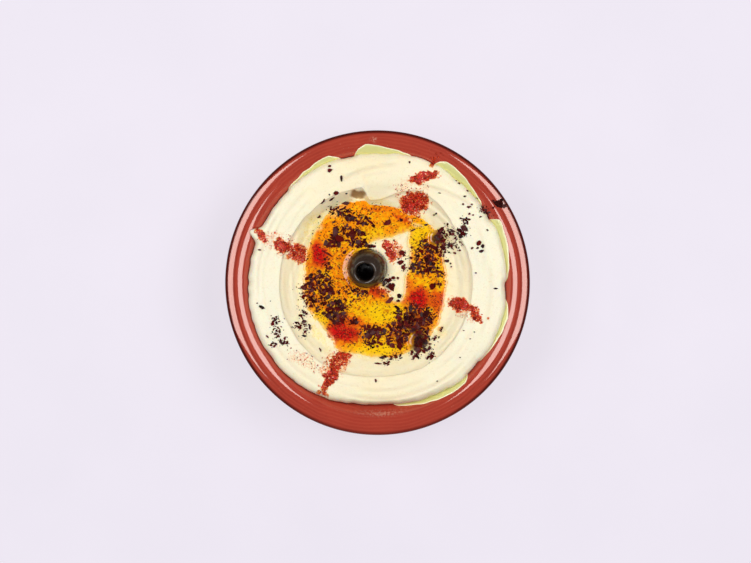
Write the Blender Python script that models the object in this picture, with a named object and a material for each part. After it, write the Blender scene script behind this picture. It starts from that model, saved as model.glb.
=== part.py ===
"""Hummus served in its round terracotta dish.

The dish, the swirled hummus, a pool of spiced oil in its middle with one pitted olive standing in it, and
six puddles of plain oil that have gathered between the hummus and the dish.

Lengths are written in millimetres and turned into metres by MM. The origin is on the table under the
middle of the dish, +Z is up. Angles are in degrees, counter-clockwise from +X as seen from above.
"""

import math

import bpy
from mathutils import Matrix, Vector

MM = 0.001
SEGMENTS = 64  # facets round the dish and the hummus
OLIVE_SEGMENTS = 28
GAP = 0.3  # left between pieces that touch
SIDE_GAP = 0.5  # the same where two faceted curves run side by side

# Dish
RIM_RADIUS = 80.0
RIM_HEIGHT = 42.0
CREST_RADIUS = 75.1  # the top line of the rounded lip
LIP_INNER_RADIUS = 67.5  # where the lip's roll runs into the inside wall
LIP_INNER_SLOPE = math.radians(56)  # of the inside wall where the lip begins
LIP_OUTER_ROLL = 10.0  # radius of the lip's outer half
LIP_EDGE_SLOPE = math.radians(23)  # where that half turns down into the edge
EDGE_ROUND = 1.6
LIP_DEPTH = 6.5  # height of the lip's outer side
LIP_OVERHANG = 3.6  # how far the lip stands out from the wall under it
FLOOR_HEIGHT = 7.0  # inside floor above the table
FOOT_RADIUS = 41.0
FOOT_WIDTH = 6.0
FOOT_HEIGHT = 3.4
FOOT_FILLET = 0.6  # height over which the wall runs into the foot ring's side
FOOT_CHAMFER = 0.8
RECESS_HEIGHT = 2.4  # hollow under the foot ring
RECESS_SLANT = 1.2  # how far the foot ring's inner side leans inwards
WALL_BELLY = 1.6  # how far the outside wall swells from a straight cone
BELLY_TILT = 0.7  # share of that swelling outwards, and as much downwards
WALL_TOP_DROP = 2.0  # from the lip's lower edge to the top of the wall under it
LIP_UNDER_ROUND = 1.1  # of the lip's lower edge

# Hummus
RING_TOP = 43.3  # highest line of the swirled ring
CREST_TOP = 42.3  # height of the ring's inner edge
CREST_ROUND = 0.6  # half the width over which the inner edge turns down
CREST_FALL = 0.7  # how far it drops over that width
TONGUE_REACH = 7.0  # how far the tongue of hummus reaches inwards from the ring
TONGUE_DROP = 4.3  # how far the tongue slopes down to its tip
SHOULDER_TOP = 42.2  # height where the ring starts to round off towards the dish
SHOULDER_WIDTH = 3.8
FOOT_TOP = 36.5  # height of the shelf under the ring's inner slope
SLOPE_WIDTH = 6.5
OIL_LEVEL = 35.6
MOAT_DEPTH = 3.8  # of the spoon's trough under the oil
MOAT_RUN = 8.0  # over which the trough reaches that depth
ISLAND_RISE = 1.7  # of the bare hummus beside the olive, above the oil
# Corners of the bare hummus, counter-clockwise.
ISLAND_CORNERS = ((-3.0, 20.0), (5.0, -9.0), (12.5, -9.5), (17.0, 9.0), (16.5, 26.8))

# Oil at the hummus's edge: start and end angle, where it reaches furthest, and how far out that is.
EDGE_OIL = {
    "edge_oil_east": (0, 30, 26, 71.6),
    "edge_oil_north_east": (36, 65, 57, 72.2),
    "edge_oil_north": (75, 101, 94, 72.0),
    "edge_oil_north_west": (106, 135, 113, 70.8),
    "edge_oil_south": (277, 315, 307, 69.8),
    "edge_oil_south_east": (322, 354, 344, 70.6),
}

# Olive, standing on its end with the pit hole up
OLIVE_CENTRE = Vector((-5.6, 7.5, 37.0))
OLIVE_RADIUS = 10.5
OLIVE_HALF_LENGTH = 12.0
OLIVE_LEAN = math.radians(14)
OLIVE_LEAN_TOWARDS = math.radians(243)
PIT_RADIUS = 4.7
PIT_MOUTH_RADIUS = 5.6
PIT_DEPTH = 15.0  # below the olive's mouth


def clear_scene():
    for obj in list(bpy.data.objects):
        bpy.data.objects.remove(obj)


def smooth(low, high, value):
    """0 below low, 1 above high, and a smooth step between."""
    t = min(1.0, max(0.0, (value - low) / (high - low)))
    return t * t * (3 - 2 * t)


def turn(angle, centre):
    """The signed angle from centre to angle, within half a turn."""
    return (angle - centre + 180) % 360 - 180


def bump(angle, centre, half_width):
    """1 at centre, falling smoothly to 0 at half_width to either side."""
    return 1 - smooth(0, half_width, abs(turn(angle, centre)))


def material(name, colour, roughness):
    made = bpy.data.materials.new(name)
    made.use_nodes = True
    shader = made.node_tree.nodes["Principled BSDF"]
    shader.inputs["Base Color"].default_value = (*colour, 1)
    shader.inputs["Roughness"].default_value = roughness
    shader.inputs["Metallic"].default_value = 0
    return made


def mesh_object(name, points, faces, finish=None, helper=False):
    """An object from points in millimetres. A helper is a cutter and is left out of the part."""
    mesh = bpy.data.meshes.new(name)
    mesh.from_pydata([Vector(p) * MM for p in points], [], faces)
    if finish:
        mesh.materials.append(finish)
        mesh.shade_smooth()
        mesh.set_sharp_from_angle(angle=math.radians(40))
    obj = bpy.data.objects.new(name, mesh)
    bpy.context.scene.collection.objects.link(obj)
    obj.hide_render = helper
    if helper:
        obj.display_type = "WIRE"
    return obj


def cut(obj, cutter):
    modifier = obj.modifiers.new("cut_" + cutter.name, "BOOLEAN")
    modifier.operation = "DIFFERENCE"
    modifier.solver = "EXACT"
    modifier.object = cutter


def skin(rings, pole_first, pole_last):
    """Points and faces of a closed skin over rings of equal length, from one pole point to the other.
    Ring by ring it goes from the first pole, each ring running counter-clockwise as seen from that pole."""
    points = [pole_first] + [p for ring in rings for p in ring] + [pole_last]
    count = len(rings[0])
    last = len(points) - 1
    faces = []
    for i in range(count):
        j = (i + 1) % count
        faces.append((0, 1 + i, 1 + j))
        for k in range(len(rings) - 1):
            upper, lower = 1 + k * count, 1 + (k + 1) * count
            faces.append((upper + i, lower + i, lower + j))
            faces.append((upper + i, lower + j, upper + j))
        lower = 1 + (len(rings) - 1) * count
        faces.append((lower + i, last, lower + j))
    return points, faces


def circle(radius, height, count):
    """A ring of points, counter-clockwise from above."""
    return [
        (radius * math.cos(a), radius * math.sin(a), height)
        for a in (2 * math.pi * i / count for i in range(count))
    ]


def turned(profile, count):
    """A skin turned about Z from (radius, height) pairs. It starts and ends on the axis, at the top first."""
    rings = [circle(radius, height, count) for radius, height in profile[1:-1]]
    return skin(rings, (0, 0, profile[0][1]), (0, 0, profile[-1][1]))


# ---------------------------------------------------------------- dish


def inner_lip_roll():
    return (CREST_RADIUS - LIP_INNER_RADIUS) / math.sin(LIP_INNER_SLOPE)


def inner_wall():
    """(radius, height, slope) stations up the inside, from the middle of the floor to the lip's crest."""
    roll = inner_lip_roll()
    lip_foot = RIM_HEIGHT - roll * (1 - math.cos(LIP_INNER_SLOPE))
    rise = lip_foot - FLOOR_HEIGHT
    power = math.tan(LIP_INNER_SLOPE) * LIP_INNER_RADIUS / rise
    stations = []
    for share in (0, 0.45, 0.7, 0.87, 1):
        height = FLOOR_HEIGHT + rise * share**power
        slope = math.atan(rise * power / LIP_INNER_RADIUS * share ** (power - 1))
        stations.append((share * LIP_INNER_RADIUS, height, slope))
    for share in (0.75, 0.5, 0.25, 0):
        slope = share * LIP_INNER_SLOPE
        radius = CREST_RADIUS - roll * math.sin(slope)
        stations.append((radius, RIM_HEIGHT - roll * (1 - math.cos(slope)), slope))
    return stations


def outer_wall():
    """(radius, height) stations down the outside, from beside the crest to the recess under the foot."""
    stations = []
    for share in (0.4, 0.75, 1):
        slope = share * LIP_EDGE_SLOPE
        drop = LIP_OUTER_ROLL * (1 - math.cos(slope))
        stations.append((CREST_RADIUS + LIP_OUTER_ROLL * math.sin(slope), RIM_HEIGHT - drop))
    edge_z = stations[-1][1] - EDGE_ROUND * math.cos(LIP_EDGE_SLOPE)
    for slope in (math.radians(55), math.radians(90)):
        radius = RIM_RADIUS - EDGE_ROUND * (1 - math.sin(slope))
        stations.append((radius, edge_z + EDGE_ROUND * math.cos(slope)))
    under = RIM_HEIGHT - LIP_DEPTH
    stations += [(RIM_RADIUS, under), (RIM_RADIUS - LIP_UNDER_ROUND, under - LIP_UNDER_ROUND)]
    wall_top = (RIM_RADIUS - LIP_OVERHANG, under - WALL_TOP_DROP)
    wall_foot = (FOOT_RADIUS + FOOT_FILLET, FOOT_HEIGHT + FOOT_FILLET)
    for share in (0, 0.33, 0.67, 1):
        belly = WALL_BELLY * BELLY_TILT * math.sin(math.pi * share)
        radius = wall_top[0] + (wall_foot[0] - wall_top[0]) * share + belly
        height = wall_top[1] + (wall_foot[1] - wall_top[1]) * share - belly
        stations.append((radius, height))
    foot_inner = FOOT_RADIUS - FOOT_WIDTH
    stations += [
        (FOOT_RADIUS, FOOT_HEIGHT - FOOT_CHAMFER),
        (FOOT_RADIUS - FOOT_CHAMFER, 0.0),
        (foot_inner, 0.0),
        (foot_inner - RECESS_SLANT, RECESS_HEIGHT),
    ]
    return stations


def make_dish():
    inside = [(radius, height) for radius, height, _ in inner_wall()]
    profile = inside + outer_wall() + [(0, RECESS_HEIGHT)]
    points, faces = turned(profile, SEGMENTS)
    finish = material("terracotta_glaze", (0.42, 0.075, 0.05), 0.32)
    return mesh_object("dish", points, faces, finish)


# ---------------------------------------------------------------- hummus


def edge_radius(angle):
    """Where the hummus meets the dish. One spur runs up the lip where the spoon went over it."""
    radius = 67.2 + 1.1 * bump(angle, 205, 50) - 3.2 * bump(angle, 275, 44)
    return radius + 1.8 * bump(angle, 70, 16) + 4.6 * bump(angle, 158, 7)


def tongue(angle):
    """1 at the tip of the tongue of hummus that reaches inwards, where the spoon was lifted."""
    return smooth(68, 93, angle) * (1 - smooth(95, 101, angle))


def crest_radius(angle):
    """The ring's inner edge."""
    radius = 50.7 + 1.0 * math.cos(math.radians(turn(angle, 190)))
    radius += 2.8 * bump(angle, 60, 26) - 1.6 * bump(angle, 270, 30)
    return radius - TONGUE_REACH * tongue(angle)


def pool_radius(angle):
    """The oil's outer shore."""
    radius = 38.4 + 3.6 * bump(angle, 96, 62) + 1.6 * bump(angle, 45, 14) - 1.6 * bump(angle, 345, 30)
    radius += 1.6 * bump(angle, 292, 26) + 1.2 * bump(angle, 120, 22) - 1.2 * bump(angle, 225, 24)
    return radius


def island_rise(x, y):
    """0 in the open pool to 1 well inside the bare hummus beside the olive."""
    outside = -1e9
    for a, b in zip(ISLAND_CORNERS, ISLAND_CORNERS[1:] + ISLAND_CORNERS[:1]):
        side = Vector(b) - Vector(a)
        outwards = Vector((side.y, -side.x)).normalized()
        outside = max(outside, outwards.dot(Vector((x, y)) - Vector(a)))
    return 1 - smooth(-2.4, 4.1, outside)


def wall_height(radius, slack):
    """Height of the hummus's underside over the dish's inside wall, slack above it."""
    stations = inner_wall()
    for (r0, z0, _), (r1, z1, _) in zip(stations, stations[1:]):
        if radius <= r1:
            slope = math.atan2(z1 - z0, r1 - r0)
            return z0 + (z1 - z0) * (radius - r0) / (r1 - r0) + slack / math.cos(slope)
    raise ValueError("the hummus reaches past the lip's crest")


def lip_slack(radius):
    """The gap to the dish, wider over the lip's roll, which bulges between one facet's corners."""
    return GAP + 0.4 * smooth(LIP_INNER_RADIUS - 3, 70, radius)


def top_stations(angle):
    """(radius, height) down the hummus's top at an angle, from the middle out to the dish."""
    edge, crest, pool = edge_radius(angle), crest_radius(angle), pool_radius(angle)
    foot = max(crest - SLOPE_WIDTH, pool + 0.5)
    shoulder = edge - SHOULDER_WIDTH
    crest_top = CREST_TOP - TONGUE_DROP * tongue(angle)
    bed = OIL_LEVEL - MOAT_DEPTH
    stations = [(share * (pool - MOAT_RUN), bed) for share in (0.14, 0.28, 0.43, 0.58, 0.72, 0.86, 1)]
    stations += [
        (pool - MOAT_RUN / 2, OIL_LEVEL - MOAT_DEPTH * 0.6),
        (pool, OIL_LEVEL),
        (foot, FOOT_TOP),
        (crest - CREST_ROUND, crest_top - CREST_FALL),
        (crest + CREST_ROUND, crest_top),
        (crest + (shoulder - crest) * 0.45, RING_TOP),
        (shoulder, SHOULDER_TOP),
        (edge - SHOULDER_WIDTH * 0.25, (SHOULDER_TOP + wall_height(edge, GAP)) / 2 + 0.3),
    ]
    lifted = []
    for radius, height in stations:
        x, y = radius * math.cos(math.radians(angle)), radius * math.sin(math.radians(angle))
        island = OIL_LEVEL + ISLAND_RISE
        if height < island:
            height += (island - height) * island_rise(x, y)
        lifted.append((radius, height))
    return lifted


def make_hummus_mesh():
    """Rings over the top from the middle outwards, then under it back along the dish's inside."""
    angles = [360 * i / SEGMENTS for i in range(SEGMENTS)]
    tops = [top_stations(angle) for angle in angles]
    rings = []
    for k in range(len(tops[0])):
        rings.append([polar(angle, *top[k]) for angle, top in zip(angles, tops)])
    lip_foot = 0.95 * LIP_INNER_RADIUS
    for share in (1, 0.75, 0.5, 0.25):
        radii = [lip_foot + (edge_radius(a) - lip_foot) * share for a in angles]
        rings.append([polar(a, r, wall_height(r, lip_slack(r))) for a, r in zip(angles, radii)])
    for share in (0.95, 0.87, 0.7, 0.45):
        radius = share * LIP_INNER_RADIUS - GAP
        rings.append([polar(a, radius, wall_height(radius, GAP)) for a in angles])
    return skin(rings, (0, 0, tops[0][0][1]), (0, 0, FLOOR_HEIGHT + GAP))


def polar(angle, radius, height):
    return (radius * math.cos(math.radians(angle)), radius * math.sin(math.radians(angle)), height)


def make_hummus(socket):
    points, faces = make_hummus_mesh()
    finish = material("hummus_cream", (0.87, 0.75, 0.52), 0.5)
    hummus = mesh_object("hummus", points, faces, finish)
    cut(hummus, socket)
    return hummus


# ---------------------------------------------------------------- oil


def make_oil(socket):
    """The pool in the spoon's trough: a flat-topped plug, less the hummus under it and the olive."""
    clearance = GAP + 0.1
    points, faces = make_hummus_mesh()
    cover = mesh_object("hummus_cover", [(x, y, z + clearance) for x, y, z in points], faces, helper=True)
    angles = [360 * (i + 0.37) / SEGMENTS for i in range(SEGMENTS)]
    bottom = OIL_LEVEL - MOAT_DEPTH - 1
    points = [polar(a, pool_radius(a), z) for z in (OIL_LEVEL, bottom) for a in angles]
    sides = [(i, i + SEGMENTS, (i + 1) % SEGMENTS + SEGMENTS, (i + 1) % SEGMENTS) for i in range(SEGMENTS)]
    faces = sides + [tuple(range(SEGMENTS)), tuple(reversed(range(SEGMENTS, 2 * SEGMENTS)))]
    finish = material("spiced_oil", (0.85, 0.36, 0.01), 0.08)
    oil = mesh_object("oil_pool", points, faces, finish)
    cut(oil, cover)
    cut(oil, socket)
    return oil


def side_line(angle):
    """(radius, height) corners down the hummus's outer side, from the shoulder to the dish."""
    edge = edge_radius(angle)
    return top_stations(angle)[-2:] + [(edge, wall_height(edge, GAP))]


def side_radius(angle, height):
    """Radius of the hummus's outer side at a height."""
    line = side_line(angle)
    for (r0, z0), (r1, z1) in zip(line, line[1:]):
        if height >= z1:
            return r0 + (r1 - r0) * (z0 - height) / (z0 - z1)
    return line[-1][0]


def make_edge_oil(name, start, end, peak, reach, finish):
    """Oil between the hummus's side and the lip: level on top, wedge-shaped across.
    It reaches furthest up the lip at the angle peak."""
    facets = [360 * i / SEGMENTS for i in range(SEGMENTS)]
    angles = [start] + [a for a in facets if start + 1 < a < end - 1] + [end]
    points = []
    for angle in angles:
        far = start if angle < peak else end
        swell = math.sqrt(max(0.0, 1 - ((angle - peak) / (far - peak)) ** 2))
        foot = edge_radius(angle) + SIDE_GAP
        outer = foot + 1.2 + (reach - foot - 1.2) * swell
        top = wall_height(outer, lip_slack(outer))
        bottom = wall_height(foot, lip_slack(foot))
        middle = min(side_line(angle)[1][1], (top + bottom) / 2)
        points += [
            polar(angle, side_radius(angle, top) + SIDE_GAP, top),
            polar(angle, side_radius(angle, middle) + SIDE_GAP, middle),
            polar(angle, foot, bottom),
            polar(angle, outer, top),
        ]
    last = 4 * len(angles) - 4
    faces = [(0, 1, 2, 3), (last + 3, last + 2, last + 1, last)]
    for i in range(0, last, 4):
        for a, b in ((0, 1), (1, 2), (2, 3), (3, 0)):
            faces.append((i + a, i + 4 + b, i + b))
            faces.append((i + a, i + 4 + a, i + 4 + b))
    return mesh_object(name, points, faces, finish)


# ---------------------------------------------------------------- olive


def olive_profile(grow):
    """(radius, height) round the olive's outside from its mouth down, grown outwards by grow."""
    mouth = math.asin((PIT_MOUTH_RADIUS + 0.3) / OLIVE_RADIUS)
    steps = 10
    profile = []
    for i in range(steps):
        a = mouth + (math.pi - mouth) * i / steps
        radius = (OLIVE_RADIUS + grow) * math.sin(a)
        profile.append((radius, (OLIVE_HALF_LENGTH + grow) * math.cos(a)))
    return profile + [(0, -OLIVE_HALF_LENGTH - grow)]


def lean():
    """The olive's place: a tilt towards OLIVE_LEAN_TOWARDS about its centre."""
    axis = (-math.sin(OLIVE_LEAN_TOWARDS), math.cos(OLIVE_LEAN_TOWARDS), 0)
    return Matrix.Translation(OLIVE_CENTRE * MM) @ Matrix.Rotation(OLIVE_LEAN, 4, axis)


def make_olive():
    outside = olive_profile(0)
    mouth = outside[0][1]
    hole = [
        (0, mouth - PIT_DEPTH),
        (PIT_RADIUS * 0.7, mouth - PIT_DEPTH + 1.2),
        (PIT_RADIUS, mouth - PIT_DEPTH + 4),
        (PIT_RADIUS, mouth - 1.2),
        (PIT_RADIUS + 0.4, mouth - 0.2),
        (PIT_MOUTH_RADIUS, mouth + 0.25),
    ]
    points, faces = turned(hole + outside, OLIVE_SEGMENTS)
    finish = material("olive_skin", (0.035, 0.022, 0.018), 0.25)
    olive = mesh_object("olive", points, faces, finish)
    olive.matrix_world = lean()
    return olive


def make_olive_socket():
    """The olive grown by the gap, which makes its place in the hummus and the oil."""
    grow = GAP + 0.1
    profile = [(0, olive_profile(grow)[0][1])] + olive_profile(grow)
    points, faces = turned(profile, OLIVE_SEGMENTS)
    socket = mesh_object("olive_socket", points, faces, helper=True)
    socket.matrix_world = lean()
    return socket


def main():
    clear_scene()
    make_dish()
    socket = make_olive_socket()
    make_hummus(socket)
    make_oil(socket)
    plain_oil = material("plain_oil", (0.66, 0.62, 0.24), 0.08)
    for name, (start, end, peak, reach) in EDGE_OIL.items():
        make_edge_oil(name, start, end, peak, reach, plain_oil)
    make_olive()


main()
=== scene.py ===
"""Looks of the hummus served in its dish: every surface, the spices on it, the lights and the camera.

Lengths are in millimetres and become metres by MM; angles are in degrees, counter-clockwise from +X as seen
from above. The dish's centre line is the Z axis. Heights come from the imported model's boxes.
"""

import math

import bpy
import numpy as np
from mathutils import Matrix, Vector


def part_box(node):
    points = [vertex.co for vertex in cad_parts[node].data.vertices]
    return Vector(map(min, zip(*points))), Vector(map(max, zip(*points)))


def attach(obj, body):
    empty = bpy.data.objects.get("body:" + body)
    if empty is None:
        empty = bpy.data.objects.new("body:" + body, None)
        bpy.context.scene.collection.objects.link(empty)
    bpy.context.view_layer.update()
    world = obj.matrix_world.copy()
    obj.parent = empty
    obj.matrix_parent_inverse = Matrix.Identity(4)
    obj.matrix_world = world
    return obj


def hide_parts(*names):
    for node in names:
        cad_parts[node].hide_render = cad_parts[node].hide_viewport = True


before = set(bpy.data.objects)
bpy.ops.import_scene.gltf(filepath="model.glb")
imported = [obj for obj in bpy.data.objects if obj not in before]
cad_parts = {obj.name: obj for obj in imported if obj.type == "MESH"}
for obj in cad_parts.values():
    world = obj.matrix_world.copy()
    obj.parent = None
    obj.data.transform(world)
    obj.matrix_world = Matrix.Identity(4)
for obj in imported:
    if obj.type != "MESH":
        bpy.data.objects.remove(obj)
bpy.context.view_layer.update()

MM = 0.001
ROUND_COUNT = 640  # points round the hummus
DISH_COUNT = 400  # points round the dish

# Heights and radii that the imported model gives
RIM_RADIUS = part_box("dish")[1].x / MM
RIM_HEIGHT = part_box("dish")[1].z / MM
OIL_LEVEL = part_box("oil_pool")[1].z / MM
HUMMUS_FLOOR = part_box("hummus")[0].z / MM
RING_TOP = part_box("hummus")[1].z / MM

# Dish
CREST_RADIUS = RIM_RADIUS - 4.9  # top line of the rounded lip
LIP_INNER_RADIUS = RIM_RADIUS - 12.5
LIP_INNER_SLOPE = math.radians(56)
LIP_OUTER_ROLL = 10.0
LIP_EDGE_SLOPE = math.radians(23)
EDGE_ROUND = 1.6
LIP_DEPTH = 6.5
LIP_OVERHANG = 3.6
FLOOR_HEIGHT = HUMMUS_FLOOR - 0.3
FOOT_RADIUS = 41.0
FOOT_WIDTH = 6.0
FOOT_HEIGHT = 3.4
RECESS_HEIGHT = 2.4
WALL_BELLY = 1.6

# Hummus
CREST_TOP = RING_TOP - 1.0
SHELF_TOP = OIL_LEVEL + 0.2
MOAT_DEPTH = 3.8
TONGUE_DROP = 4.3  # how far the tongue slopes down to its tip
TONGUE_REACH = 7.0  # how far the tongue reaches inwards from the ring
SHOULDER = 0.7  # share of the ring's width where its outer side starts to round off
SHOULDER_POWER = 2.4  # 2 would round it off as an ellipse
EDGE_RADIUS = 67.2
RING_INNER_RADIUS = 50.7
ISLAND_RISE = 1.5
POCKET_DEPTH = 1.5
UPPER_LEFT_DIP = 2.5  # how much lower the hollow's side lies there

# Olive
OLIVE_CENTRE = Vector((-5.6, 7.5, 37.0))
OLIVE_RADIUS = 10.5
OLIVE_HALF_LENGTH = 12.0
OLIVE_LEAN = math.radians(14)
OLIVE_LEAN_TOWARDS = math.radians(243)
PIT_RADIUS = 4.7
PIT_DEPTH = 15.0

# Spices
CHIP_SPACING = 0.2  # least distance between two flakes, as a share of their lengths added
# What the sizes, half lengths, numbers and lengths in the tables of flakes are multiplied by
LONE_GROWTH = 1.25
DRIFT_SPREAD = 1.12
DRIFT_FLAKES = 2.0
DRIFT_LENGTH = 1.6
SPECK_COUNT = 3600  # places tried for specks on the oil
GRAIN_COUNT = 130000  # places tried for grains of paprika
FLAKE_CORNERS = 7

rng = np.random.default_rng(7)


# ---- numbers


def smooth(low, high, value):
    """0 below low, 1 above high, and a smooth step between."""
    t = np.clip((value - low) / (high - low), 0, 1)
    return t * t * (3 - 2 * t)


def turn(angle, centre):
    """The signed angle from centre to angle, within half a turn."""
    return (angle - centre + 180) % 360 - 180


def bump(angle, centre, half_width):
    """1 at centre, falling smoothly to 0 at half_width to either side."""
    return 1 - smooth(0, half_width, abs(turn(angle, centre)))


def noise(x, y, cell, seed):
    """Smooth noise from -1 to 1 with features about cell wide."""
    size = 97
    table = np.random.default_rng(seed).uniform(-1, 1, (size, size))
    gx, gy = np.asarray(x) / cell + 1000, np.asarray(y) / cell + 1000
    ix, iy = np.floor(gx).astype(int), np.floor(gy).astype(int)
    fx, fy = gx - ix, gy - iy
    fx, fy = fx * fx * (3 - 2 * fx), fy * fy * (3 - 2 * fy)
    ix, iy, jx, jy = ix % size, iy % size, (ix + 1) % size, (iy + 1) % size
    low = table[ix, iy] * (1 - fx) + table[jx, iy] * fx
    high = table[ix, jy] * (1 - fx) + table[jx, jy] * fx
    return low * (1 - fy) + high * fy


def round_noise(angle, radius, cell, stretch, seed):
    """Noise drawn out stretch times as long round the dish as it is wide. It meets itself after a turn."""
    middle = 55  # radius at which lengths round the dish are true
    along = noise(turn(angle, 0) * math.pi / 180 * middle / stretch, radius, cell, seed)
    other = noise(turn(angle, 180) * math.pi / 180 * middle / stretch, radius, cell, seed + 1)
    share = smooth(60, 120, abs(turn(angle, 0)))
    return along * (1 - share) + other * share


def smooth_max(a, b, softness):
    """The larger of two heights, with a rounded change from one to the other."""
    share = np.clip(0.5 + (a - b) / (2 * softness), 0, 1)
    return b + (a - b) * share + softness * share * (1 - share)


def closed_curve(corners, per_side):
    """Points of a smooth closed curve through the corners."""
    corners = np.array(corners, float)
    before, after, beyond = (np.roll(corners, shift, 0) for shift in (1, -1, -2))
    parts = []
    for t in np.arange(per_side) / per_side:
        bend = (2 * before - 5 * corners + 4 * after - beyond) * t**2
        twist = (3 * corners - before - 3 * after + beyond) * t**3
        parts.append(0.5 * (2 * corners + (after - before) * t + bend + twist))
    return np.stack(parts, 1).reshape(-1, 2)


def inside_distance(x, y, outline):
    """Distance to a closed outline, positive inside it."""
    nearest = np.full(np.shape(x), 1e9)
    inside = np.zeros(np.shape(x), bool)
    for (ax, ay), (bx, by) in zip(outline, np.roll(outline, -1, 0)):
        dx, dy = bx - ax, by - ay
        t = np.clip(((x - ax) * dx + (y - ay) * dy) / (dx * dx + dy * dy), 0, 1)
        nearest = np.minimum(nearest, np.hypot(x - ax - t * dx, y - ay - t * dy))
        if ay != by:
            crossed = ((ay > y) != (by > y)) & (x < dx * (y - ay) / dy + ax)
            inside ^= crossed
    return np.where(inside, nearest, -nearest)


def to_polar(x, y):
    return np.degrees(np.arctan2(y, x)) % 360, np.hypot(x, y)


def to_flat(angle, radius):
    return radius * np.cos(np.radians(angle)), radius * np.sin(np.radians(angle))


def blot(angle, radius, bearing, spread, middle, width):
    """1 at a place on the dish, falling off over spread degrees round it and over width across."""
    return np.exp(-((turn(angle, bearing) / spread) ** 2)) * np.exp(-(((radius - middle) / width) ** 2))


# ---- shape of the food


def lip_height(radius):
    """Height of the dish's upper surface, from the middle to the lip's edge."""
    roll = (CREST_RADIUS - LIP_INNER_RADIUS) / math.sin(LIP_INNER_SLOPE)
    foot = RIM_HEIGHT - roll * (1 - math.cos(LIP_INNER_SLOPE))
    rise = foot - FLOOR_HEIGHT
    power = math.tan(LIP_INNER_SLOPE) * LIP_INNER_RADIUS / rise
    radius = np.asarray(radius, float)
    wall = FLOOR_HEIGHT + rise * (np.clip(radius, 0, None) / LIP_INNER_RADIUS) ** power
    bend = np.where(radius < CREST_RADIUS, roll, LIP_OUTER_ROLL)
    lean = np.clip((CREST_RADIUS - radius) / bend, -1, 1)
    lip = RIM_HEIGHT - bend * (1 - np.sqrt(1 - lean**2))
    return np.where(radius < LIP_INNER_RADIUS, wall, lip)


# Oil that has gathered at the hummus's edge: start and end angle, where it reaches furthest, how far out
EDGE_OIL = {
    "edge_oil_east": (-1, 30, 27, 72.2),
    "edge_oil_north_east": (35.5, 65, 60, 73.0),
    "edge_oil_north": (74, 101, 95, 72.8),
    "edge_oil_north_west": (105.5, 135, 111.5, 71.2),
    "edge_oil_south": (276.5, 315.5, 311, 70.2),
    "edge_oil_south_east": (321, 354, 345, 70.9),
}


def edge_radius(angle):
    """Where the hummus meets the dish, with one spur where the spoon went over the lip."""
    radius = EDGE_RADIUS + 1.1 * bump(angle, 205, 50) - 3.2 * bump(angle, 275, 44)
    radius = radius + 1.8 * bump(angle, 70, 16) + 5.0 * bump(angle, 158, 5.5) ** 1.6
    for start, end, _, _ in EDGE_OIL.values():
        middle, half = (start + end) / 2, (end - start) / 2
        radius = radius + 0.9 * (1 - smooth(half - 4, half + 1, abs(turn(angle, middle))))
    wobble = round_noise(angle, 0 * angle, 2.6, 1, 11) * 0.35 + round_noise(angle, 0 * angle, 7, 1, 12) * 0.3
    return radius + wobble


def tongue(angle):
    """1 at the tip of the tongue that reaches inwards, where the spoon was lifted."""
    return smooth(66, 93, angle) * (1 - smooth(95, 100, angle))


def crest_radius(angle):
    """The ring's inner edge."""
    radius = RING_INNER_RADIUS + np.cos(np.radians(turn(angle, 190)))
    radius = radius + 2.8 * bump(angle, 60, 26) - 1.6 * bump(angle, 270, 30)
    return radius - TONGUE_REACH * tongue(angle) + round_noise(angle, 0 * angle, 5, 1, 13) * 0.25


POOL_RADII = (  # the oil's shore every 15 degrees from +X
    36.6, 36.9, 38.0, 42.2, 39.4, 40.6, 43.2, 44.8, 46.0, 45.4, 41.5, 39.9,
    39.2, 40.2, 38.0, 37.0, 41.5, 38.6, 40.1, 40.2, 40.8, 39.4, 38.2, 36.4,
)  # fmt: skip
ISLAND = closed_curve(  # bare hummus beside the olive
    [(-4, 18.5), (-0.5, 22.8), (6, 23.7), (12, 25.6), (16.6, 26.8), (16, 21), (17.2, 16), (16.6, 8),
     (14.6, 3), (13.8, -6), (11.5, -9.5), (8, -9), (6, -5), (2, 0)], 5
)  # fmt: skip
# Drops of oil that stand proud over clumps of flakes: x, y, radius, height
DROPS = ((21.8, -31.0, 6.0, 1.1), (32.2, 23.6, 5.4, 1.0), (33.2, -24.8, 2.2, 0.4))


def pool_radius(angle):
    at = np.arange(25) * 15.0
    return np.interp(angle % 360, at, POOL_RADII + POOL_RADII[:1])


def shore(x, y):
    """Distance from the oil pool's shore, positive over oil."""
    angle, radius = to_polar(x, y)
    spread = [pool_radius(angle + step) for step in (-5, 0, 5)]
    pool = (spread[0] + spread[1] * 2 + spread[2]) / 4 - radius
    pool = pool + noise(x, y, 2.4, 21) * 0.6 + noise(x, y, 6, 22) * 0.4 + noise(x, y, 1.1, 24) * 0.4
    for cx, cy, size, _ in DROPS:
        pool = np.maximum(pool, size - 0.5 - np.hypot(x - cx, y - cy))
    island = -inside_distance(x, y, ISLAND) + noise(x, y, 2.5, 23) * 0.4
    return pool, island


# Lines that the spoon drew round the ring: start angle and radius, end angle and radius, depth, width
SPOON_LINES = (
    (112, 56, 78, 63.5, 0.8, 1.1), (66, 55.5, 36, 64.5, 0.7, 1.1), (140, 63.4, 190, 62.4, 0.7, 1),
    (124, 60.6, 172, 58.6, 0.45, 1), (128, 55.5, 152, 54, 0.3, 0.8), (162, 60, 206, 59.4, 0.3, 1),
    (248, 60.5, 322, 61.5, 0.6, 1), (258, 56.6, 300, 56.4, 0.4, 1.2), (236, 57.4, 262, 54.6, 0.3, 0.9),
    (206, 63, 246, 61, 0.45, 1.1), (330, 60.5, 372, 59, 0.4, 1.4), (300, 54.6, 338, 55.8, 0.3, 0.9),
    (6, 56, 30, 60.5, 0.3, 1.2), (84, 58, 100, 56, 0.3, 0.8),
)  # fmt: skip


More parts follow.
